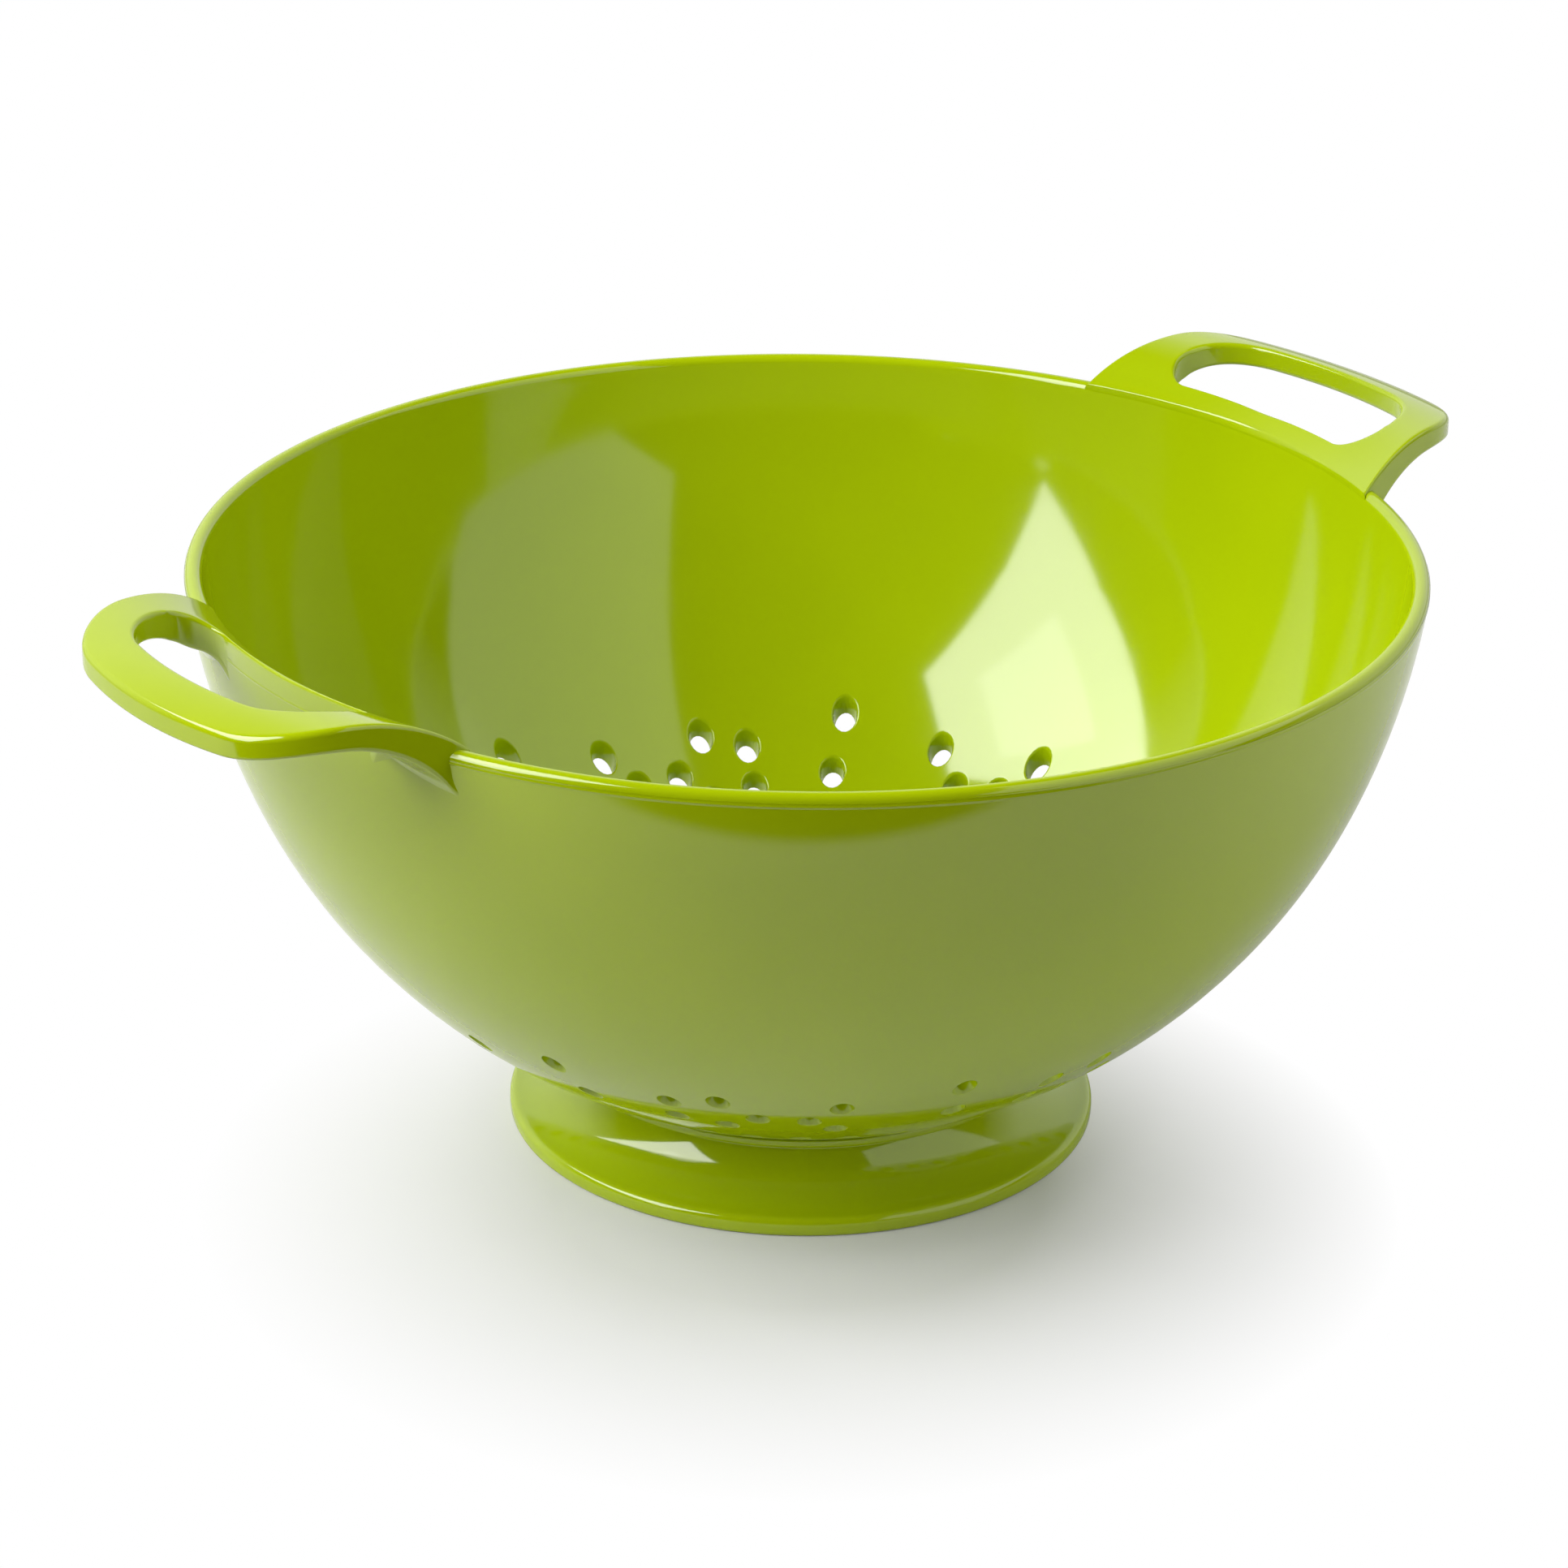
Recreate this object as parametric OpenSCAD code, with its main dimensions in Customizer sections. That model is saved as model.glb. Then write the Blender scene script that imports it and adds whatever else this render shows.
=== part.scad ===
// Melamine colander: a round bowl with two upswept loop handles, bonded to a flared foot ring
// Units are millimetres, +Z is up, the handles lie along X and the foot stands on Z = 0

/* [Node] */
// Which piece to show

/* [Bowl] */
// Radius of the outer wall at the rim
rim_radius = 125; // [124:0.5:128]
// Height of the rim above the table
rim_height = 124; // [122:0.5:127]
// Height of the middle of the underside above the table
floor_lift = 5.7; // [5:0.1:7]
// Amount by which the lower wall's ball is smaller than one that would reach the rim
ball_shortfall = 1.6; // [1:0.1:2]
// Height above the table where the wall leaves the ball
join_height = 80.4; // [72:0.4:88]
// Thickness of the wall
wall = 3.5; // [3:0.1:4]

/* [Handles] */
// Distance from the rim to the middle of the grip's outer edge
grip_overhang = 30.7; // [28:0.1:34]
// Radius of the grip's outer edge, seen from above
grip_bow_radius = 110; // [100:1:125]
// Width of the grip bar, seen from above
grip_width = 9.3; // [8:0.1:12]
// Width of each side arm, seen from above
arm_width = 9.8; // [8:0.1:12]
// Half width of the handle beside the rim
root_half_width = 41.75; // [38:0.25:46]
// Angle that each side arm closes in by
arm_taper = 10.4; // [8:0.2:13]
// Radius of the handle's outer corners, seen from above
corner_radius = 22; // [16:0.5:24]
// Radius of the finger gap's outer corners
gap_outer_radius = 15.5; // [8:0.5:16]
// Radius of the finger gap's inner corners
gap_inner_radius = 7; // [3:0.5:7]
// Radius of the arch that the handle's top follows outwards
arch_radius = 30.35; // [29:0.05:32]
// Distance from the rim to the crown of that arch
crown_overhang = 17.5; // [16:0.5:19]
// Rise of the crown above the rim
crown_rise = 8.55; // [7:0.05:10]
// Radius of the arch under the handle
under_radius = 23.1; // [22.5:0.1:23.5]
// Distance from the rim to the top of the arch under the handle
under_overhang = 19.4; // [19:0.1:20]
// Rise of that arch's top above the rim
under_rise = 3.55; // [3:0.05:4]
// Depth below the rim where the handle's root ends inside the wall
root_depth = 14; // [13:0.5:15]
// Step from the rim's inner face out to the handle's inner face
inner_step = 0.4; // [0.3:0.05:0.7]

/* [Drain holes] */
// Diameter of each drain hole
hole_diameter = 5; // [3:0.25:6]
// How many times the group of wall holes repeats around the bowl
group_count = 7; // [7]
// Distance from the foot's neck to the nearest ring of holes inside it
floor_margin = 11.7; // [9:0.1:14]
// Number of rings of holes inside the foot
floor_rings = 3; // [1:1:3]
// Distance from the foot's collar to the ring of holes around it
collar_margin = 11.2; // [8:0.1:12]
// Holes of that ring in each repeat
outer_ring_holes = 6; // [3:1:6]

/* [Foot ring] */
// Radius of the foot where it stands on the table
foot_radius = 61.3; // [59:0.1:64]
// Height of the foot's upright edge
foot_edge_height = 3.2; // [2.5:0.1:4]
// Radius of the rounded top of that edge
foot_edge_round = 2.4; // [1:0.1:2.4]
// Distance from the foot's outer edge to the middle of the hollow flank's curve
flank_inset = 3.8; // [3.6:0.1:4.4]
// Depth by which that curve dips into the top of the edge
flank_dip = 0.1; // [0.05:0.05:0.3]
// Radius of the hollow flank
flank_radius = 9.3; // [9:0.05:9.6]
// Thickness of the foot's wall
foot_wall = 3.5; // [3:0.1:4]
// Distance that the collar under the bowl stands out from the waist
collar_overhang = 5.1; // [4:0.1:6]
// Thickness of the collar
collar_thickness = 1.6; // [1.4:0.1:2]

/* [Joint] */
// Clearance between the bowl and its seat on the foot, filled with adhesive
seat_clearance = 0.1; // [0.05:0.05:0.2]
// Clearance between the locating rib and the foot's neck
neck_clearance = 0.15; // [0.1:0.05:0.3]
// Width of the locating rib on the bowl's underside
rib_width = 1.6; // [1.2:0.1:2]
// Depth of that rib
rib_depth = 1.4; // [1:0.1:1.8]

/* [Hidden] */

// Number of facets in a full turn of each round surface
round_facets = 96;
// Number of facets in each drain hole
hole_facets = 16;
// Depth by which the finger gap's inner rounds cross the circle that they run into
round_crossing = 0.1;
// Overrun of every cut past the faces that it goes through
overrun = 2;

// Each wall hole of one repeat, taken from the photograph: its distance as a share of the way from
// the ring of holes around the foot to the rim, then its angle as a share of the repeat
wall_hole_shares = [
    [0.45, 0.891],
    [0.285, 0.915],
    [0.362, 0.169],
    [0.398, 0.3],
    [0.289, 0.389],
    [0.279, 0.525],
    [0.38, 0.603],
    [0.24, 0.158],
    [0.202, 0.294],
    [0.198, 0.601]
];

// The ball stands on the axis and falls a little short of the rim
bowl_depth = rim_height - floor_lift;
reaching_radius = (rim_radius * rim_radius + bowl_depth * bowl_depth) / (2 * bowl_depth);
ball_radius = reaching_radius - ball_shortfall;
ball_z = floor_lift + ball_radius;

// An arc that shares the ball's tangent where they join carries the wall on to the rim
join_drop = ball_z - join_height;
join_radius = sqrt(ball_radius * ball_radius - join_drop * join_drop);
join_normal = [join_radius, -join_drop] / ball_radius;
to_rim = [rim_radius - join_radius, rim_height - join_height];
upper_radius = -(to_rim * to_rim) / (2 * (to_rim * join_normal));
upper_centre = [join_radius, join_height] - upper_radius * join_normal;

// The rim is rounded over its full thickness, about a point in the middle of the wall
rim_round = wall / 2;
rim_round_z = rim_height - rim_round;
upper_rise = rim_round_z - upper_centre[1];
rim_round_x = upper_centre[0] + sqrt(pow(upper_radius - rim_round, 2) - upper_rise * upper_rise);
bowl_top_z = rim_height + crown_rise;

// The foot is narrowest at the waist of its hollow flank
flank_distance = foot_radius - flank_inset;
flank_height = foot_edge_height + flank_radius - flank_dip;
waist_radius = flank_distance - flank_radius;
neck_radius = waist_radius - foot_wall;
collar_radius = waist_radius + collar_overhang;
outer_ring_radius = collar_radius + collar_margin;

// The handle's places follow the rim
grip_reach = rim_radius + grip_overhang;
crown_distance = rim_radius + crown_overhang;
under_distance = rim_radius + under_overhang;
handle_inner = rim_round_x - rim_round + inner_step;
arch_z = bowl_top_z - arch_radius;
under_z = rim_height + under_rise - under_radius;
handle_root_z = rim_height - root_depth;

// Seen from above, each side arm follows a line that leans in by the taper
side_normal = [sin(arm_taper), cos(arm_taper)];
side_offset = side_normal * [rim_radius, root_half_width];
bow_centre = [grip_reach - grip_bow_radius, 0];
gap_offset = side_offset - arm_width;
gap_bow_radius = grip_bow_radius - grip_width;

// Unit vector along a direction
function unit(direction) = direction / norm(direction);

// Centre of a round inside a circle of given centre and radius, resting on the side line
function inside_centre(centre, radius, offset, round_radius) =
    let (across = offset - round_radius - side_normal * centre)
    let (along = sqrt(pow(radius - round_radius, 2) - across * across))
    centre + across * side_normal + along * [side_normal[1], -side_normal[0]];

// Centre of a round outside a circle about the axis, resting on the side line
function outside_centre(radius, offset, round_radius) =
    let (across = offset - round_radius)
    let (along = sqrt(pow(radius + round_radius, 2) - across * across))
    across * side_normal + along * [side_normal[1], -side_normal[0]];

// Region of the wall's profile that lies within a given depth below its outer face
module wall_fill(depth) {
    split_z = ball_z - (ball_radius - depth) * join_drop / ball_radius;
    intersection() {
        translate([0, ball_z])
            circle(r = ball_radius - depth, $fn = 2 * round_facets);
        square([rim_radius, split_z]);
    }
    intersection() {
        translate(upper_centre)
            circle(r = upper_radius - depth, $fn = 2 * round_facets);
        translate([0, split_z])
            square([rim_radius + wall, rim_round_z - split_z]);
    }
}

// Profile of the bowl's wall with its rounded rim
module wall_profile() {
    difference() {
        wall_fill(0);
        wall_fill(wall);
    }
    translate([rim_round_x, rim_round_z])
        circle(r = rim_round, $fn = round_facets);
}

// Profile of the handle, between the arch above it and the arch below it
module handle_profile() {
    difference() {
        intersection() {
            translate([crown_distance, arch_z])
                circle(r = arch_radius, $fn = 2 * round_facets);
            translate([handle_inner, handle_root_z])
                square([grip_reach - handle_inner + overrun, bowl_top_z - handle_root_z + overrun]);
        }
        translate([under_distance, under_z])
            circle(r = under_radius, $fn = 2 * round_facets);
    }
}

// Corner between two faces with given outward normals, left outside a round
module corner_cap(centre, radius, first_normal, second_normal) {
    difference() {
        polygon([
            centre,
            centre + 2 * radius * first_normal,
            centre + 3 * radius * unit(first_normal + second_normal),
            centre + 2 * radius * second_normal
        ]);
        translate(centre)
            circle(r = radius, $fn = round_facets);
    }
}

// Shape between the two side lines and a bow, from a given distance outwards
module plan_region(start, offset, bow_radius) {
    reach = grip_reach + overrun;
    start_half = (offset - start * side_normal[0]) / side_normal[1];
    reach_half = (offset - reach * side_normal[0]) / side_normal[1];
    intersection() {
        polygon([[start, -start_half], [reach, -reach_half], [reach, reach_half], [start, start_half]]);
        translate(bow_centre)
            circle(r = bow_radius, $fn = 2 * round_facets);
    }
}

// Rounded outer corners of such a shape
module outer_corners(offset, bow_radius, round_radius) {
    centre = inside_centre(bow_centre, bow_radius, offset, round_radius);
    for (side = [0, 1])
        mirror([0, side])
            corner_cap(centre, round_radius, side_normal, unit(centre - bow_centre));
}

// Handle seen from above
module handle_plan() {
    difference() {
        plan_region(handle_inner - root_half_width / 2, side_offset, grip_bow_radius);
        outer_corners(side_offset, grip_bow_radius, corner_radius);
    }
}

// Finger gap seen from above, outside the wall's own circle
module gap_plan() {
    centre = outside_centre(rim_radius - round_crossing, gap_offset, gap_inner_radius);
    difference() {
        plan_region(rim_radius - root_half_width / 2, gap_offset, gap_bow_radius);
        circle(r = rim_radius, $fn = 2 * round_facets);
        outer_corners(gap_offset, gap_bow_radius, gap_outer_radius);
        for (side = [0, 1])
            mirror([0, side])
                corner_cap(centre, gap_inner_radius, side_normal, -unit(centre));
    }
}

// Upright block with a given plan, taller than the handle
module upright() {
    translate([0, 0, handle_root_z - overrun])
        linear_extrude(height = bowl_top_z - handle_root_z + 2 * overrun)
            children();
}

// One handle, swept up from the rim and down again to its grip
module handle() {
    difference() {
        intersection() {
            rotate([0, 0, 180])
                rotate_extrude($fn = round_facets)
                    handle_profile();
            upright()
                handle_plan();
        }
        upright()
            gap_plan();
    }
}

// One upright bore at a distance and an angle
module drain_hole(distance, angle) {
    rotate([0, 0, angle])
        translate([distance, 0, 0])
            cylinder(d = hole_diameter, h = rim_height, $fn = hole_facets);
}

// All the drain holes of the bowl
module drain_holes() {
    group_angle = 360 / group_count;
    floor_pitch = (neck_radius - floor_margin) / floor_rings;
    for (group = [0 : group_count - 1])
        for (share = wall_hole_shares)
            drain_hole(
                outer_ring_radius + share[0] * (rim_radius - outer_ring_radius),
                (group + share[1]) * group_angle
            );
    for (index = [0 : group_count * outer_ring_holes - 1])
        drain_hole(outer_ring_radius, index * group_angle / outer_ring_holes);
    for (ring = [1 : floor_rings])
        for (index = [0 : group_count * ring - 1])
            drain_hole(ring * floor_pitch, (index + ring / 2) * group_angle / ring);
    drain_hole(0, 0);
}

// Locating rib that stands inside the foot's neck
module locating_rib() {
    outer = neck_radius - neck_clearance;
    underside_z = ball_z - sqrt(ball_radius * ball_radius - outer * outer);
    rotate_extrude($fn = round_facets)
        translate([outer - rib_width, underside_z - rib_depth])
            square([rib_width, rib_depth + wall / 2]);
}

// Bowl moulded in one piece with its two handles
module bowl() {
    color("YellowGreen")
        difference() {
            union() {
                rotate_extrude($fn = round_facets)
                    wall_profile();
                handle();
                rotate([0, 0, 180])
                    handle();
                locating_rib();
            }
            drain_holes();
        }
}

// Profile of the foot's edge, standing on the table
module foot_edge_profile() {
    edge_centre = foot_radius - foot_edge_round;
    edge_z = foot_edge_height - foot_edge_round;
    translate([flank_distance - foot_wall / 2, 0])
        square([edge_centre - flank_distance + foot_wall / 2, foot_edge_height]);
    translate([flank_distance, 0])
        square([foot_radius - flank_distance, edge_z]);
    intersection() {
        translate([edge_centre, edge_z])
            circle(r = foot_edge_round, $fn = round_facets);
        square([foot_radius + overrun, foot_edge_height + overrun]);
    }
}

// Profile of the flank's wall, below its waist
module foot_flank_profile() {
    intersection() {
        translate([flank_distance, flank_height])
            circle(r = flank_radius + foot_wall, $fn = round_facets);
        translate([neck_radius, 0])
            square([flank_distance - neck_radius, flank_height]);
    }
}

// Profile of the neck above the waist and of the collar under the bowl
module foot_collar_profile() {
    translate([neck_radius, flank_height])
        square([foot_wall, flank_height]);
    intersection() {
        translate([0, ball_z])
            circle(r = ball_radius + seat_clearance + collar_thickness, $fn = 2 * round_facets);
        translate([neck_radius, flank_height])
            square([collar_radius - neck_radius, flank_height]);
    }
}

// Foot ring, bonded to the bowl
module foot_ring() {
    color("YellowGreen")
        rotate_extrude($fn = round_facets)
            difference() {
                union() {
                    difference() {
                        union() {
                            foot_edge_profile();
                            foot_flank_profile();
                        }
                        translate([flank_distance, flank_height])
                            circle(r = flank_radius, $fn = round_facets);
                    }
                    foot_collar_profile();
                }
                translate([0, ball_z])
                    circle(r = ball_radius + seat_clearance, $fn = 2 * round_facets);
            }
}

bowl();
foot_ring();
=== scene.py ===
import bpy
import numpy as np
from mathutils import Euler, Matrix
from mathutils.geometry import delaunay_2d_cdt


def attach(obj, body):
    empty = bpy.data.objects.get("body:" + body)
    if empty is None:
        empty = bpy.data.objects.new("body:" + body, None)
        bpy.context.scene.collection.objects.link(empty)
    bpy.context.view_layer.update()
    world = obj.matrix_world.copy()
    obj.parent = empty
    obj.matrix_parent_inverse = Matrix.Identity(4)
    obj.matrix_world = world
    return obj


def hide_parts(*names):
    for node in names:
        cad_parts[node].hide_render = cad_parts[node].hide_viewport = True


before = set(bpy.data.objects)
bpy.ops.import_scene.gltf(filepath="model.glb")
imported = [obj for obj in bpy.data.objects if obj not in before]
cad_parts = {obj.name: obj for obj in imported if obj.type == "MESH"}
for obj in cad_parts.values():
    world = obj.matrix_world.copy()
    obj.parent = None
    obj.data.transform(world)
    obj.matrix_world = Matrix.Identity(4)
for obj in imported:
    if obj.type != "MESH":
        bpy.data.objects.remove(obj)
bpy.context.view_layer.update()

# The object's sizes are in millimetres and its angles in degrees; a mesh is filled in metres
mm = 0.001
scene = bpy.context.scene
print("frame loaded")


# The camera stands where the photograph was taken from: turn in degrees, clipping in metres
view = dict(place=(-585.4, -735.1, 479.3), turn=(66.578, -0.548, -38.039), focal=114.36, sensor=36.0,
            clipStart=0.05, clipEnd=30)


# Place in metres = place in millimetres times 0.001, turned about X, then Y, then Z
def makeCamera():
    data = bpy.data.cameras.new("photoCamera")
    data.lens = view["focal"]
    data.sensor_width = view["sensor"]
    data.clip_start = view["clipStart"]
    data.clip_end = view["clipEnd"]
    camera = bpy.data.objects.new("photoCamera", data)
    camera.location = [value * mm for value in view["place"]]
    camera.rotation_euler = Euler(np.radians(view["turn"]), "XYZ")
    scene.collection.objects.link(camera)
    scene.camera = camera


makeCamera()
print("camera placed")


# Vectors divided by their lengths
def unit(vectors):
    vectors = np.asarray(vectors)
    return vectors / np.linalg.norm(vectors, axis=-1, keepdims=True)


# Directions at angles in radians: x = cos a, y = sin a
def around(angles):
    return np.stack([np.cos(angles), np.sin(angles)], axis=-1)


# Even angles round a full turn, the first at 0
def evenAngles(count):
    return np.linspace(0, 2 * np.pi, count, endpoint=False)


# Points on a circle: centre + radius times the direction, from one angle to another in radians
def arc(centre, radius, start, end, count):
    return np.asarray(centre) + radius * around(np.linspace(start, end, count))


# A profile of (distance, height) points turned about Z: x = distance cos a, y = distance sin a
def turned(profile, angles):
    distance, height = profile.T
    x = np.cos(angles)[:, None] * distance
    y = np.sin(angles)[:, None] * distance
    return np.stack([x, y, np.broadcast_to(height, x.shape)], axis=-1)


# Each quad joins four neighbours in a grid of vertex numbers, and a closed direction comes back to its start
def gridFaces(numbers, closeRows=False, closeColumns=False):
    if closeRows:
        numbers = np.concatenate([numbers, numbers[:1]])
    if closeColumns:
        numbers = np.concatenate([numbers, numbers[:, :1]], axis=1)
    a, b = numbers[:-1, :-1], numbers[1:, :-1]
    c, d = numbers[1:, 1:], numbers[:-1, 1:]
    return np.stack([a, b, c, d], axis=-1).reshape(-1, 4)


# Normals of a grid: the cross product of the steps between neighbours in its two directions
def gridNormals(points, closeRows, closeColumns):
    def step(axis, closed):
        if closed:
            return np.roll(points, -1, axis) - np.roll(points, 1, axis)
        return np.gradient(points, axis=axis)
    return unit(np.cross(step(0, closeRows), step(1, closeColumns)))


# A mesh from points (metres = millimetres times 0.001), quads, triangles and one outward normal for each
# point; corner numbers lie one after another, and each face starts where the one before it ends
def fillMesh(name, points, quads, triangles, normals, material):
    mesh = bpy.data.meshes.new(name)
    corners = np.concatenate([quads.ravel(), triangles.ravel()]).astype(np.int32)
    sizes = np.concatenate([np.full(len(quads), 4), np.full(len(triangles), 3)])
    starts = np.concatenate([[0], np.cumsum(sizes)[:-1]]).astype(np.int32)
    mesh.vertices.add(len(points))
    mesh.vertices.foreach_set("co", (points * mm).ravel().astype(np.float32))
    mesh.loops.add(len(corners))
    mesh.loops.foreach_set("vertex_index", corners)
    mesh.polygons.add(len(sizes))
    mesh.polygons.foreach_set("loop_start", starts)
    mesh.update(calc_edges=True)
    mesh.validate()
    mesh.shade_smooth()
    mesh.normals_split_custom_set_from_vertices(normals)
    mesh.materials.append(material)
    piece = bpy.data.objects.new(name, mesh)
    scene.collection.objects.link(piece)
    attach(piece, "root")
    print(name, "has", len(points), "points and", len(sizes), "faces")
    return piece


# A mesh from a grid that closes both ways; normals and faces turn round where the normal at a known spot
# points the wrong way along an axis
def fillLoop(name, points, spot, axis, material):
    normals = gridNormals(points, True, True)
    numbers = np.arange(points.shape[0] * points.shape[1]).reshape(points.shape[:2])
    quads = gridFaces(numbers, True, True)
    if normals[spot][axis] < 0:
        normals, quads = -normals, quads[:, ::-1]
    noTriangles = np.zeros((0, 3), int)
    return fillMesh(name, points.reshape(-1, 3), quads, noTriangles, normals.reshape(-1, 3), material)


class Socket:
    # A value in a node tree: arithmetic on it adds Math nodes
    def __init__(self, tree, link):
        self.tree, self.link = tree, link

    def math(self, operation, *values, clamp=False):
        return self.tree.node("ShaderNodeMath", dict(operation=operation, use_clamp=clamp), *values)[0]

    def __add__(self, other):
        return self.math("ADD", self, other)

    def __sub__(self, other):
        return self.math("SUBTRACT", self, other)

    def __rsub__(self, other):
        return self.math("SUBTRACT", other, self)

    def __mul__(self, other):
        return self.math("MULTIPLY", self, other)

    # 0 up to low, 1 from high, and (value - low) / (high - low) between them
    def within(self, low, high):
        return self.math("DIVIDE", self - low, high - low, clamp=True)

    __radd__, __rmul__ = __add__, __mul__


class Tree:
    # Wraps a node tree: node() takes a type, its settings, then the values or links of its sockets
    def __init__(self, owner):
        owner.use_nodes = True
        self.nodes, self.links = owner.node_tree.nodes, owner.node_tree.links
        self.nodes.clear()

    def node(self, kind, settings=None, *values, **named):
        made = self.nodes.new(kind)
        for key, value in (settings or {}).items():
            setattr(made, key, value)
        pairs = list(zip(made.inputs, values))
        pairs += [(made.inputs[key.replace("_", " ")], value) for key, value in named.items()]
        for socket, value in pairs:
            if isinstance(value, Socket):
                self.links.new(value.link, socket)
            elif value is not None:
                socket.default_value = value
        return [Socket(self, output) for output in made.outputs]

    # Colour = first (1 - factor) + second factor; a Mix node's colours are its seventh and eighth sockets
    def blend(self, factor, first, second):
        return self.node("ShaderNodeMix", dict(data_type="RGBA"), factor, *[None] * 5, first, second)[2]

    # A noise from 0 to 1 at a place times the scale
    def noise(self, place, scale, detail, roughness):
        return self.node("ShaderNodeTexNoise", None, Vector=place, Scale=scale, Detail=detail,
                         Roughness=roughness)[0]

    # The dot product of a vector with a fixed direction
    def along(self, vector, direction):
        return self.node("ShaderNodeVectorMath", dict(operation="DOT_PRODUCT"), vector, direction)[1]

    # A matt surface: light sent back = colour times the light that falls on it
    def diffuse(self, colour):
        return self.node("ShaderNodeBsdfDiffuse", None, Color=colour)[0]

    # Light of its own: the colour at strength 1
    def glow(self, colour):
        return self.node("ShaderNodeEmission", None, Color=colour)[0]

    # The first shader where the factor is 0, the second where it is 1
    def mixed(self, factor, first, second):
        return self.node("ShaderNodeMixShader", None, factor, first, second)[0]


# Each pattern is a noise of some scale, detail and roughness, on places in metres
melamine = dict(colour=(0.345, 0.447, 0.001, 1), pale=(0.36, 0.463, 0.001, 1), deep=(0.325, 0.427, 0.001, 1),
                roughness=0.075, scuffRoughness=0.12, ior=1.62,
                flow=(11.0, 3.0, 0.55), flowRange=(0.35, 0.65),
                speck=(900.0, 2.0, 0.6), speckRange=(0.62, 0.8), speckShare=0.35,
                scuff=(60.0, 6.0, 0.7), scuffRange=(0.5, 0.8),
                ripple=(26.0, 1.0, 0.4), rippleShare=0.9, grain=(1400.0, 1.0, 0.5), grainShare=0.02,
                reliefStrength=0.05, reliefDepth=0.0004)


# Colour = deep to pale by the flow, then towards the middle colour by the specks;
# roughness = gloss + scuff (scuffed - gloss)
def makeMelamine():
    material = bpy.data.materials.new("limeMelamine")
    tree = Tree(material)
    place = tree.node("ShaderNodeTexCoord")[3]  # Object coordinates
    # Slow flow of the powder in the mould, in colour
    flow = tree.noise(place, *melamine["flow"]).within(*melamine["flowRange"])
    speck = tree.noise(place, *melamine["speck"]).within(*melamine["speckRange"]) * melamine["speckShare"]
    colour = tree.blend(flow, melamine["deep"], melamine["pale"])
    colour = tree.blend(speck, colour, melamine["colour"])
    # Fine wear from washing, in roughness
    scuff = tree.noise(place, *melamine["scuff"]).within(*melamine["scuffRange"])
    gloss = melamine["roughness"] + scuff * (melamine["scuffRoughness"] - melamine["roughness"])
    # The mould's slow ripple and a fine grain, in relief
    ripple = tree.noise(place, *melamine["ripple"]) * melamine["rippleShare"]
    relief = ripple + tree.noise(place, *melamine["grain"]) * melamine["grainShare"]
    bump = tree.node("ShaderNodeBump", None, Strength=melamine["reliefStrength"],
                     Distance=melamine["reliefDepth"], Height=relief)[0]
    shader = tree.node("ShaderNodeBsdfPrincipled", None, Base_Color=colour, Roughness=gloss,
                       IOR=melamine["ior"], Normal=bump)[0]
    tree.node("ShaderNodeOutputMaterial", None, Surface=shader)
    return material


limeMelamine = makeMelamine()
print("material made")


# The bowl is a ball below and an arc tangent to it above, with a rounded rim; outside planEdge, seen from
# above, there are no holes
bowl = dict(rim=125.0, height=124.0, lift=5.7, shortfall=1.6, joinHeight=80.4, wall=3.5,
            seamDrop=2.3, seamProud=0.1, seamHalf=0.25, seamReach=3,
            turns=360, planEdge=100.0, meshStep=3.4, planMargin=1, holeMargin=0.9,
            insideSteps=26, outsideSteps=40, rimSteps=19, seamSteps=25)

# Each hole leans outward on its way down, by a share of its distance from the axis. It is flared inside and
# narrower outside, with a round of its own at each end. wallShares holds one repeat of the wall's holes:
# distance as a share of the way from the outer ring to the rim, and angle as a share of the repeat
drain = dict(diameter=5.0, mouth=0.45, lean=0.0115, flare=1.08, narrow=0.94, lip=0.15, apron=0.5,
             roundSteps=4, sides=20, repeats=7, pitch=11.0, rings=3, outerRing=64.5, outerCount=6,
             wallShares=[(0.45, 0.891), (0.285, 0.915), (0.362, 0.169), (0.398, 0.3), (0.289, 0.389),
                         (0.279, 0.525), (0.38, 0.603), (0.24, 0.158), (0.202, 0.294), (0.198, 0.601)])

# A ball through the floor's middle and the rim has radius (rim^2 + depth^2) / (2 depth); this one is smaller
bowlDepth = bowl["height"] - bowl["lift"]
ballRadius = (bowl["rim"] ** 2 + bowlDepth ** 2) / (2 * bowlDepth) - bowl["shortfall"]
ballZ = bowl["lift"] + ballRadius
joinDrop = ballZ - bowl["joinHeight"]
joinPoint = np.array([np.sqrt(ballRadius ** 2 - joinDrop ** 2), bowl["joinHeight"]])
joinNormal = np.array([joinPoint[0], -joinDrop]) / ballRadius
# The arc above has its centre on the normal at the join: radius = -|way|^2 / (2 way . normal), with the way
# from the join to the rim
toRim = np.array([bowl["rim"], bowl["height"]]) - joinPoint
upperRadius = -(toRim @ toRim) / (2 * (toRim @ joinNormal))
upperCentre = joinPoint - upperRadius * joinNormal
rimRound = bowl["wall"] / 2
rimZ = bowl["height"] - rimRound
rimX = upperCentre[0] + np.sqrt((upperRadius - rimRound) ** 2 - (rimZ - upperCentre[1]) ** 2)
wallTilt = np.arctan2(rimZ - upperCentre[1], rimX - upperCentre[0])


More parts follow.
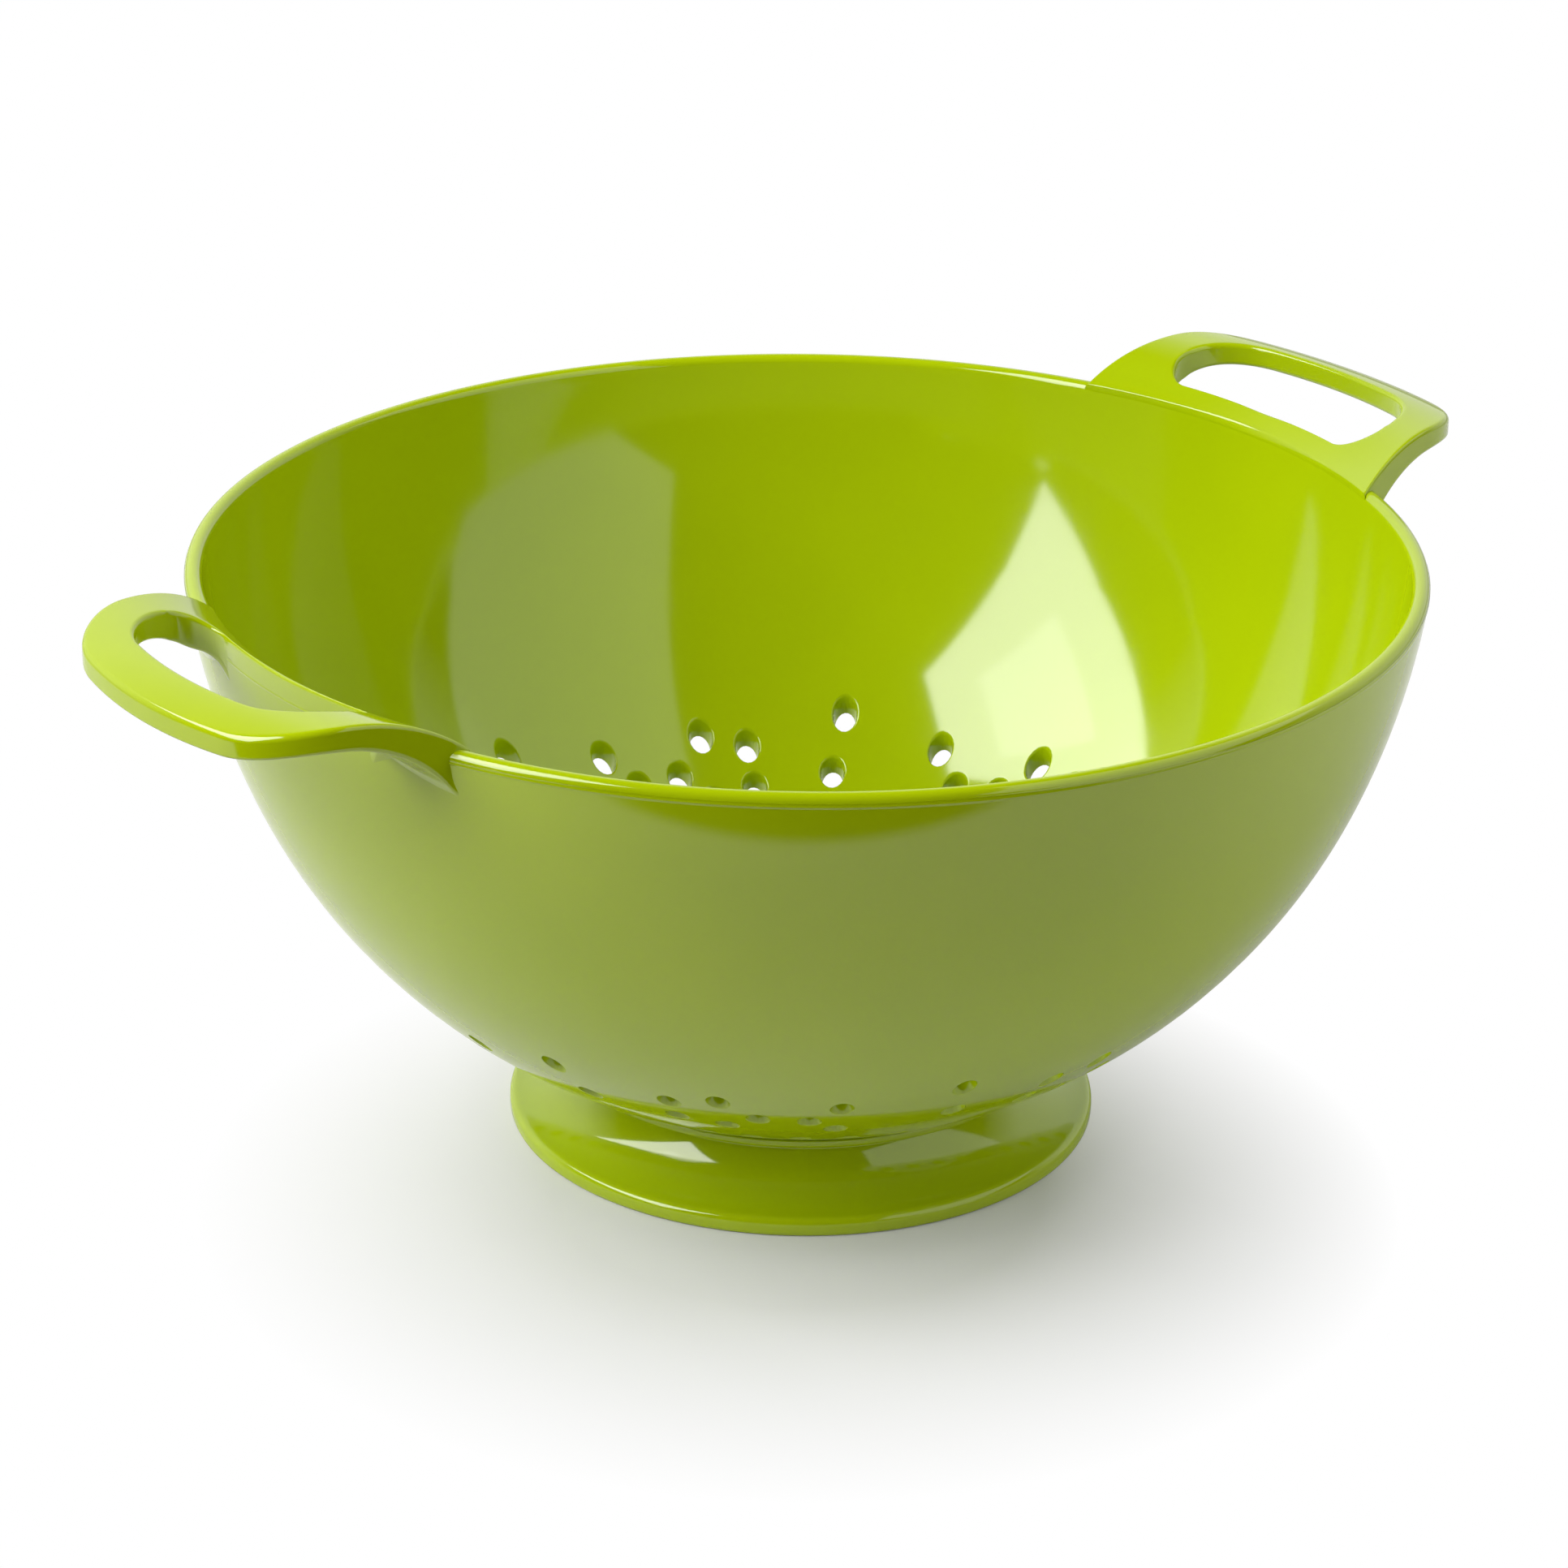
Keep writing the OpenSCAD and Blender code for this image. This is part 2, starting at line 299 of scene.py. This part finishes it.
# Places of the drain holes seen from above: the repeats on the wall, then the outer ring, the inner rings
# with 7, 14 and 21 holes, and the middle hole
def holePlaces():
    repeats, outerRing = drain["repeats"], drain["outerRing"]
    shares = np.array(drain["wallShares"])
    distance = np.tile(outerRing + shares[:, 0] * (bowl["rim"] - outerRing), repeats)
    angle = (np.arange(repeats)[:, None] + shares[:, 1]).ravel() * (2 * np.pi / repeats)
    for ring in range(drain["rings"] + 1):
        # Ring 0 stands for the outer ring; every other one is turned by half a hole more than the last
        count = repeats * (ring or drain["outerCount"])
        distance = np.append(distance, np.full(count, ring * drain["pitch"] if ring else outerRing))
        angle = np.append(angle, (np.arange(count) + ring / 2) * 2 * np.pi / count)
    return np.concatenate([distance[:, None] * around(angle), [[0, 0]]])


# The wall's profile above the pierced part: the ball up to the join, the arc above it, the half round of
# the rim, and the same back down outside, with the mould's seam as a fine ridge under the rim:
# proud exp(-(height from the seam / half width)^2)
def upperProfile():
    split = np.arctan2(joinNormal[1], joinNormal[0])

    # One face of the wall, set in from the outside
    def face(inset, count):
        radius = ballRadius - inset
        low = -np.arccos(bowl["planEdge"] * (1 - drain["lean"] * inset / bowl["wall"]) / radius)
        lower = arc((0, ballZ), radius, low, split, count)
        upper = arc(upperCentre, upperRadius - inset, split, wallTilt, count)
        return np.concatenate([lower, upper[1:]])
    inside = face(bowl["wall"], bowl["insideSteps"])
    outside = face(0, bowl["outsideSteps"])[::-1]
    # Extra points carry the seam
    seamZ = bowl["height"] - bowl["seamDrop"]
    reach = bowl["seamReach"] * bowl["seamHalf"]
    extraZ = np.linspace(seamZ + reach, seamZ - reach, bowl["seamSteps"])
    extraX = upperCentre[0] + np.sqrt(upperRadius ** 2 - (extraZ - upperCentre[1]) ** 2)
    outside = np.concatenate([outside[outside[:, 1] > extraZ[0]], np.stack([extraX, extraZ], -1),
                              outside[outside[:, 1] < extraZ[-1]]])
    outside[:, 0] += bowl["seamProud"] * np.exp(-((outside[:, 1] - seamZ) / bowl["seamHalf"]) ** 2)
    nose = arc((rimX, rimZ), rimRound, wallTilt + np.pi, wallTilt, bowl["rimSteps"])[1:-1]
    return np.concatenate([inside, nose, outside])


# Rings of points round a hole's end: radius = bore + round (1 - cos a), sunk by round (1 - sin a), with the
# normal turned towards the bore by cos a; and one flat ring outside them
def mouthRings(boreRadius, roundRadius):
    bend = np.radians(np.linspace(0, 90, drain["roundSteps"]))
    radii = np.append(roundRadius * (1 - np.cos(bend)), roundRadius + drain["apron"]) + boreRadius
    return radii, np.append(roundRadius * (1 - np.sin(bend)), 0), np.append(np.cos(bend), 0)


# Points on circles one mesh step apart, kept where they are clear of every hole
def evenField(holes, clearance):
    step = bowl["meshStep"]
    field = []
    for distance in np.arange(step, bowl["planEdge"] - bowl["planMargin"], step):
        count = int(2 * np.pi * distance / step)
        turn = (np.arange(count) + 0.5 * (count % 2)) * 2 * np.pi / count
        field.append(distance * around(turn))
    field = np.concatenate(field)
    return field[np.linalg.norm(field[:, None] - holes, axis=-1).min(axis=1) > clearance]


# Triangles between the points of the plan, facing up, without those inside a hole: such a triangle has all
# its corners on the innermost ring of one hole
def planTriangles(plan, innermost):
    closeness = 1e-7
    faces = np.array(delaunay_2d_cdt([tuple(p) for p in plan.tolist()], [], [], 0, closeness)[2])
    owner = np.full(len(plan), -1)
    owner[innermost] = np.arange(len(innermost))[:, None]
    corner = owner[faces]
    inHole = (corner[:, 0] >= 0) & (corner == corner[:, :1]).all(axis=1)
    faces = faces[~inHole]
    p, q, r = plan[faces[:, 0]], plan[faces[:, 1]], plan[faces[:, 2]]
    clockwise = np.cross(q - p, r - p) < 0
    faces[clockwise] = faces[clockwise][:, ::-1]
    return faces


# The pierced part is one plan lifted onto the ball twice, inside and outside, and joined through the bores;
# the wall above it is a turned profile that shares the plan's outer circle
def makeBowl():
    turns, lean = bowl["turns"], drain["lean"]
    angles = evenAngles(turns)
    boreRadius = drain["diameter"] / 2
    holes = holePlaces()
    innerRadii, innerSink, bend = mouthRings(boreRadius, drain["mouth"])
    outerRadii, outerSink, _ = mouthRings(drain["narrow"] * boreRadius, drain["lip"])
    spoke = around(evenAngles(drain["sides"]))

    def rings(centres, radii):
        return centres[:, None, None] + radii[:, None, None] * spoke
    outerRings = rings(holes, outerRadii)
    field = evenField(holes, innerRadii[-1] + bowl["holeMargin"])
    plan = np.concatenate([bowl["planEdge"] * around(angles), outerRings.reshape(-1, 2), field])
    # Numbers of the ring points by hole, ring and side
    onRing = turns + np.arange(outerRings[..., 0].size).reshape(outerRings.shape[:3])
    faces = planTriangles(plan, onRing[:, 0])

    # The inside plan is drawn in by the lean, with wider rings
    inner = plan * (1 - lean)
    inner[onRing] = rings(holes * (1 - lean), drain["flare"] * innerRadii)

    # A bore's direction goes in by lean times its place and up by wall / sqrt(1 - (distance / radius)^2).
    # The normals of its rounds stand square to it
    rise = bowl["wall"] / np.sqrt(1 - (plan ** 2).sum(axis=1) / ballRadius ** 2)
    bore = unit(np.concatenate([-lean * plan, rise[:, None]], axis=1))
    tilt = np.zeros((len(plan), 3))
    tilt[onRing, :2] = -bend[:, None, None] * spoke
    tilt -= (tilt * bore).sum(axis=1, keepdims=True) * bore

    # A face of the ball over a plan: z = centre - sqrt(radius^2 - x^2 - y^2), with the rings sunk in
    def face(plan, inset, side, ringSink):
        ball = ballRadius - inset
        z = ballZ - np.sqrt(ball ** 2 - (plan ** 2).sum(axis=1))
        normal = np.concatenate([plan, (z - ballZ)[:, None]], axis=1) / ball * side
        share = np.sqrt(np.clip(1 - (tilt ** 2).sum(axis=1), 0, 1))[:, None]
        z[onRing] += side * ringSink[:, None]
        return np.concatenate([plan, z[:, None]], axis=1), unit(normal * share + tilt)
    insidePoints, insideNormals = face(inner, bowl["wall"], -1, innerSink)
    outsidePoints, outsideNormals = face(plan, 0, 1, outerSink)
    bores = np.stack([onRing[:, 0], onRing[:, 0] + len(plan)], axis=1)
    boreQuads = np.concatenate([gridFaces(one, closeColumns=True) for one in bores])[:, ::-1]
    triangles = np.concatenate([faces, faces[:, ::-1] + len(plan)])

    # The wall above uses the two outer circles as its first and last columns
    wall = turned(upperProfile(), angles)
    wallNormals = gridNormals(wall, True, False)
    middle = wall.shape[1] - 2
    insideEdge = np.arange(turns)[:, None]
    numbers = np.arange(turns * middle).reshape(turns, middle) + 2 * len(plan)
    wallQuads = gridFaces(np.concatenate([insideEdge, numbers, insideEdge + len(plan)], axis=1), closeRows=True)
    # At a quarter turn the outside faces along Y
    if wallNormals[turns // 4, -1, 1] < 0:
        wallNormals, wallQuads = -wallNormals, wallQuads[:, ::-1]
    points = np.concatenate([insidePoints, outsidePoints, wall[:, 1:-1].reshape(-1, 3)])
    normals = np.concatenate([insideNormals, outsideNormals, wallNormals[:, 1:-1].reshape(-1, 3)])
    quads = np.concatenate([wallQuads, boreQuads])
    return fillMesh("bowlShell", points, quads, triangles, normals, limeMelamine)


bowlShell = makeBowl()


# Each handle is a plate between two arches, cut to a rounded loop seen from above. steps holds the number of
# points on each part of the loop's edges, and across the bar
handle = dict(overhang=30.7, bow=110.0, width=9.3, arm=9.8, rootHalf=41.75, taper=10.4, corner=22.0,
              gapOuter=15.5, arch=30.35, crown=17.5, rise=8.55, under=23.1, underOverhang=19.4,
              underRise=3.55, rootDepth=14.0, edge=1.05, edgeShare=0.45, thinnest=0.3,
              hollow=7.0, hollowReach=6.5, hollowStart=18.0, hollowEnd=30.0,
              steps=dict(bow=30, corner=24, side=30, blend=22, circle=40, edge=7, flat=16))

# Where the loop's edges end, on the top and below: radius of the blend between each arm and the wall, radius
# of the wall that it rests on, and radius of the circle that the edge follows from there
rootEnds = dict(top=dict(gap=(7.0, 125.5, 125.5), outline=(-0.4, 121.3, 121.3)),
                low=dict(gap=(8.0, 123.7, 123.7), outline=(-3.4, 123.6, 121.8)))

# The outer side of each arm is a straight line, tapered towards the grip: its normal, and its distance from
# the axis along that normal
sideNormal = np.array([np.sin(np.radians(handle["taper"])), np.cos(np.radians(handle["taper"]))])
sideOffset = sideNormal @ [bowl["rim"], handle["rootHalf"]]


# The loop's two edges, inside and outside, from the middle of the grip round to the middle of the rim and
# back, with matching points: bow, corner, side, blend into the wall, and circle about the axis.
# A circle's centre lies across from the side by offset - radius, and along it by Pythagoras
def loopEdges(ends):
    along = np.array([sideNormal[1], -sideNormal[0]])
    bowCentre = np.array([bowl["rim"] + handle["overhang"] - handle["bow"], 0])
    side = np.arctan2(sideNormal[1], sideNormal[0])
    steps = handle["steps"]

    def edge(offset, bowRadius, cornerRadius, blendRadius, wallRadius, circleRadius):
        across = offset - cornerRadius - sideNormal @ bowCentre
        reach = np.sqrt((bowRadius - cornerRadius) ** 2 - across ** 2)
        outer = bowCentre + across * sideNormal + reach * along
        across = offset - blendRadius
        reach = np.sqrt((wallRadius + abs(blendRadius)) ** 2 - across ** 2)
        centre = across * sideNormal + reach * along
        bowEnd = np.arctan2(*(outer - bowCentre)[::-1])
        blendEnd = np.arctan2(*(-centre)[::-1])
        # A blend outside the arm curves the other way, from the side's inward normal
        if blendRadius < 0:
            blendStart = side - np.pi
        else:
            blendStart, blendEnd = side, blendEnd + 2 * np.pi
        bow = arc(bowCentre, bowRadius, 0, bowEnd, steps["bow"])
        corner = arc(outer, cornerRadius, bowEnd, side, steps["corner"])
        straight = np.linspace(corner[-1], centre + blendRadius * sideNormal, steps["side"])
        blend = arc(centre, abs(blendRadius), blendStart, blendEnd, steps["blend"])
        circle = arc((0, 0), circleRadius, np.arctan2(centre[1], centre[0]), 0, steps["circle"])
        return np.concatenate([bow[:-1], corner[:-1], straight[:-1], blend, circle[1:]])
    outline = edge(sideOffset, handle["bow"], handle["corner"], *ends["outline"])
    gap = edge(sideOffset - handle["arm"], handle["bow"] - handle["width"], handle["gapOuter"], *ends["gap"])
    return [np.concatenate([half, (half * [1, -1])[-2:0:-1]]) for half in (gap, outline)]


# Height of the handle's top over its distance from the axis: centre + sqrt(arch^2 - beyond^2)
def handleTop(xy):
    beyond = np.linalg.norm(xy, axis=-1) - bowl["rim"] - handle["crown"]
    return bowl["height"] + handle["rise"] - handle["arch"] + np.sqrt(handle["arch"] ** 2 - beyond ** 2)


# Height of the handle's underside: an arch in the same way, down to the root in the wall
def handleUnder(xy):
    beyond = np.linalg.norm(xy, axis=-1) - bowl["rim"] - handle["underOverhang"]
    rise = np.sqrt(np.clip(handle["under"] ** 2 - beyond ** 2, 0, None))
    return bowl["height"] + np.maximum(handle["underRise"] - handle["under"] + rise, -handle["rootDepth"])


# How far the underside of each root is raised on the side of the finger gap: the product of three squared
# fades, along the arm, towards the middle of the rim and across the bar
def rootHollow(xy, share):
    start, end = handle["hollowStart"], handle["hollowEnd"]
    beyond = np.linalg.norm(xy, axis=-1) - bowl["rim"]
    along = np.clip(1 - beyond / handle["hollowReach"], 0, 1)
    aside = np.clip((abs(xy[..., 1]) - start) / (end - start), 0, 1)
    return handle["hollow"] * along ** 2 * aside ** 2 * (1 - share) ** 2


# The bar's section goes across the top and back below, with quarter rounds at its edges: in by
# edge (1 - sin a), sunk by edge (1 - cos a)
def makeHandle(name, turn):
    edge, steps = handle["edge"], handle["steps"]
    bend = np.radians(np.linspace(0, 90, steps["edge"]))
    flat = np.linspace(0, 1, steps["flat"])[1:-1]
    drop = edge * (1 - np.cos(bend))
    sink = np.concatenate([drop[::-1], flat * 0, drop])

    # Points across the bar, as shares of its width from the gap to the outline
    def across(ends):
        gap, outline = loopEdges(ends)
        width = np.linalg.norm(outline - gap, axis=1)[:, None]
        rounds = np.minimum(edge / width, handle["edgeShare"])
        inset = rounds * (1 - np.sin(bend))
        share = np.concatenate([inset[:, ::-1], rounds + (1 - 2 * rounds) * flat, 1 - inset], axis=1)
        return gap[:, None] + (outline - gap)[:, None] * share[..., None]
    top, low = across(rootEnds["top"]), across(rootEnds["low"])
    topZ = handleTop(top) - sink
    lowZ = handleUnder(low) + rootHollow(low, np.linspace(0, 1, low.shape[1])) + sink
    lowZ = np.minimum(lowZ, topZ - handle["thinnest"])
    upper = np.concatenate([top, topZ[..., None]], axis=-1)
    lower = np.concatenate([low, lowZ[..., None]], axis=-1)[:, ::-1]
    cosTurn, sinTurn = np.cos(np.radians(turn)), np.sin(np.radians(turn))
    rotation = np.array([[cosTurn, sinTurn, 0], [-sinTurn, cosTurn, 0], [0, 0, 1]])
    points = np.concatenate([upper, lower], axis=1) @ rotation
    return fillLoop(name, points, (0, top.shape[1] // 2), 2, limeMelamine)


makeHandle("handleRight", 0)
makeHandle("handleLeft", 180)
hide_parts("bowl")
print("bowl and handles made")


# The foot is one closed profile turned about Z: edge, hollow flank, collar, seat under the ball and hollow
# inside. flankOver is how far past the waist the flank meets the collar, and neckDrop where the inside starts
# under the seat. steps holds the number of points on each arc
foot = dict(radius=61.3, edgeHeight=3.9, edgeRound=1.5, corner=0.5, baseStep=1.2, waist=48.2,
            flankRadius=14.0, flankOver=0.8, wall=3.5, neckDrop=0.4, collar=53.3, collarThickness=1.6,
            seat=0.1, step=0.4, passes=2, turns=224,
            steps=dict(corner=8, edge=24, flank=60, collar=16, seat=24, hollow=60))


# Resample a closed profile at even steps and average neighbours, (before + 2 itself + after) / 4, which
# rounds its corners
def evenLoop(points, step, passes):
    closed = np.concatenate([points, points[:1]])
    length = np.concatenate([[0], np.cumsum(np.linalg.norm(np.diff(closed, axis=0), axis=1))])
    places = np.linspace(0, length[-1], int(length[-1] / step), endpoint=False)
    even = np.stack([np.interp(places, length, closed[:, k]) for k in range(2)], axis=-1)
    for _ in range(passes):
        even = (np.roll(even, 1, 0) + 2 * even + np.roll(even, -1, 0)) / 4
    return even


# The flank's arc is tangent to the round of the edge, and stands upright at the waist:
# (waist + flank - edge)^2 + rise^2 = (flank + round)^2
def footProfile():
    flank, edgeRound, corner, steps = foot["flankRadius"], foot["edgeRound"], foot["corner"], foot["steps"]
    edge = np.array([foot["radius"] - edgeRound, foot["edgeHeight"] - edgeRound])
    aside = foot["waist"] + flank - edge[0]
    rise = np.sqrt((flank + edgeRound) ** 2 - aside ** 2)
    centre = edge + [aside, rise]
    slope = np.arctan2(rise, aside)
    hollow = flank + foot["wall"]
    neck = foot["waist"] - foot["wall"]
    seat = ballRadius + foot["seat"]
    under = seat + foot["collarThickness"]

    # Angle at which a circle about the ball's centre reaches a distance from the axis
    def onBall(radius, distance):
        return -np.arccos(distance / radius)

    # Height of such a circle there
    def ballHeight(radius, distance):
        return ballZ - np.sqrt(radius ** 2 - distance ** 2)

    # Angle at which an arc about the flank's centre reaches a height
    def atHeight(radius, height):
        return np.arcsin((centre[1] - height) / radius) - np.pi
    flankEnd = atHeight(flank, ballHeight(under, foot["waist"] + foot["flankOver"]))
    collarStart = centre[0] + flank * np.cos(flankEnd)
    hollowStart = atHeight(hollow, ballHeight(seat, neck) - foot["neckDrop"])
    hollowEnd = atHeight(hollow, foot["baseStep"])
    rows = [
        arc((foot["radius"] - corner, corner), corner, -np.pi / 2, 0, steps["corner"]),
        arc(edge, edgeRound, 0, slope, steps["edge"]),
        arc(centre, flank, slope - np.pi, flankEnd, steps["flank"]),
        arc((0, ballZ), under, onBall(under, collarStart), onBall(under, foot["collar"]), steps["collar"]),
        arc((0, ballZ), seat, onBall(seat, foot["collar"]), onBall(seat, neck), steps["seat"]),
        arc(centre, hollow, hollowStart, hollowEnd, steps["hollow"]),
        [[centre[0] + hollow * np.cos(hollowEnd), 0]],
    ]
    return evenLoop(np.concatenate(rows), foot["step"], foot["passes"])


# The profile turned about Z, with nothing below the floor
def makeFoot():
    points = turned(footProfile(), evenAngles(foot["turns"]))
    points[..., 2] = np.maximum(points[..., 2], 0)
    outermost = (0, points[0, :, 0].argmax())
    return fillLoop("footShell", points, outermost, 0, limeMelamine)


footShell = makeFoot()
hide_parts("foot_ring")
print("foot made")


# The studio's sizes are in metres. The table's front edge lies towards the camera, and the gloss of the bowl
# shows the dark beyond it and the pale wall behind, which fades in with the direction away from the camera
# (wallFade) and out with its height (wallTop). Around the foot the floor shows the lamps' cast shadow on its
# paper together with a painted shade: a dim pool about shadeMiddle, which fades to white from shadeNear to
# shadeFar, and beyond that it is white
studio = dict(floorSize=12.0, paper=(0.6, 0.6, 0.6, 1), lift=(0.06, 0.06, 0.06, 1), white=(1, 1, 1, 1),
              dark=(0, 0, 0, 1), bounce=(0.65, 0.65, 0.65, 1),
              shadeMiddle=(-0.025, -0.031, 0.0), shadeNear=0.05, shadeFar=0.122,
              tableFront=0.237, tableSoft=0.012, towardsCamera=(-0.622, -0.783, 0.0),
              air=0.24, backWall=0.9, wallFade=(0.05, 0.45), wallTop=(0.5, 0.8))


# The camera sees lamp-lit paper with a little light of its own, turning white by the distance from the shade's
# middle, which paints a dim pool of shade around the foot; other rays meet a table that ends at its front edge
def makeFloor():
    half = studio["floorSize"] / 2
    mesh = bpy.data.meshes.new("floor")
    corners = [(-half, -half, 0), (half, -half, 0), (half, half, 0), (-half, half, 0)]
    mesh.from_pydata(corners, [], [(0, 1, 2, 3)])
    floor = bpy.data.objects.new("floor", mesh)
    scene.collection.objects.link(floor)
    material = bpy.data.materials.new("paleFloor")
    tree = Tree(material)
    place = tree.node("ShaderNodeTexCoord")[3]  # Object coordinates
    isCamera = tree.node("ShaderNodeLightPath")[0]
    away = tree.node("ShaderNodeVectorMath", dict(operation="DISTANCE"), place, studio["shadeMiddle"])[1]
    # Painted shade: lamp-lit paper near the shade's middle, plain white glow from shadeFar on, so a dim pool
    # stays round the foot
    clear = away.within(studio["shadeNear"], studio["shadeFar"])
    paper, lift = tree.diffuse(studio["paper"]), tree.glow(studio["lift"])
    shade = tree.node("ShaderNodeAddShader", None, paper, lift)[0]
    shown = tree.mixed(clear, shade, tree.glow(studio["white"]))
    front = tree.along(place, studio["towardsCamera"])
    table = 1 - front.within(studio["tableFront"], studio["tableFront"] + studio["tableSoft"])
    felt = tree.mixed(table, tree.diffuse(studio["dark"]), tree.diffuse(studio["bounce"]))
    tree.node("ShaderNodeOutputMaterial", None, Surface=tree.mixed(isCamera, felt, shown))
    mesh.materials.append(material)


# Strength = wall behind + air, which gloss doesn't see, and at least 1 for the camera
def makeWorld():
    world = bpy.data.worlds.new("studioWorld")
    scene.world = world
    tree = Tree(world)
    direction = tree.node("ShaderNodeTexCoord")[0]
    path = tree.node("ShaderNodeLightPath")
    isCamera, isGlossy = path[0], path[3]
    behind = 0 - tree.along(direction, studio["towardsCamera"])
    height = tree.node("ShaderNodeSeparateXYZ", None, direction)[2]
    wall = behind.within(*studio["wallFade"]) * (1 - height.within(*studio["wallTop"])) * studio["backWall"]
    strength = wall + studio["air"] * (1 - isGlossy)
    strength = tree.node("ShaderNodeMath", dict(operation="MAXIMUM"), strength, isCamera)[0]
    air = tree.node("ShaderNodeBackground", None, Color=studio["white"], Strength=strength)[0]
    tree.node("ShaderNodeOutputWorld", None, Surface=air)


# Each lamp: place of its middle in metres, directions of its width and height, their lengths, and watts
lamps = dict(
    keyPanel=dict(place=(-1.261, 0.216, 1.552), across=(0.467, 0.783, 0.379), up=(-0.35, -0.225, 0.895),
                  size=(1.21, 2.27), power=62.0),
    keyCore=dict(place=(-1.066, 0.367, 1.18), across=(0.467, 0.783, 0.379), up=(-0.35, -0.225, 0.895),
                 size=(0.62, 0.86), power=2.3),
    fillPanel=dict(place=(0.461, -0.916, 0.73), across=(0.8, 0.152, -0.579), up=(0.335, 0.689, 0.643),
                   size=(1.1, 1.81), power=6.65),
    backPanel=dict(place=(0.12, 0.75, 1.3), across=(1, -0.16, 0), up=(0.14, 0.86, -0.5),
                   size=(1.0, 0.8), power=5.5, glossy=False),
)


# A lamp's axes are across, up and their cross product. It shines along its own -Z, so its Z points away from
# the bowl
def makeLamps():
    for name, lamp in lamps.items():
        data = bpy.data.lights.new(name, "AREA")
        data.shape = "RECTANGLE"
        data.size, data.size_y = lamp["size"]
        data.energy = lamp["power"]
        light = bpy.data.objects.new(name, data)
        place = np.array(lamp["place"])
        across, up = unit(lamp["across"]), unit(lamp["up"])
        facing = np.cross(across, up)
        if facing @ place < 0:
            across, facing = -across, -facing
        axes = np.stack([across, up, facing, place], axis=1)
        light.matrix_world = Matrix([*axes.tolist(), [0, 0, 0, 1]])
        light.visible_camera = False
        light.visible_glossy = lamp.get("glossy", True)
        scene.collection.objects.link(light)


makeFloor()
makeWorld()
makeLamps()
scene.view_settings.view_transform = "Standard"
print("floor, world and lamps made")
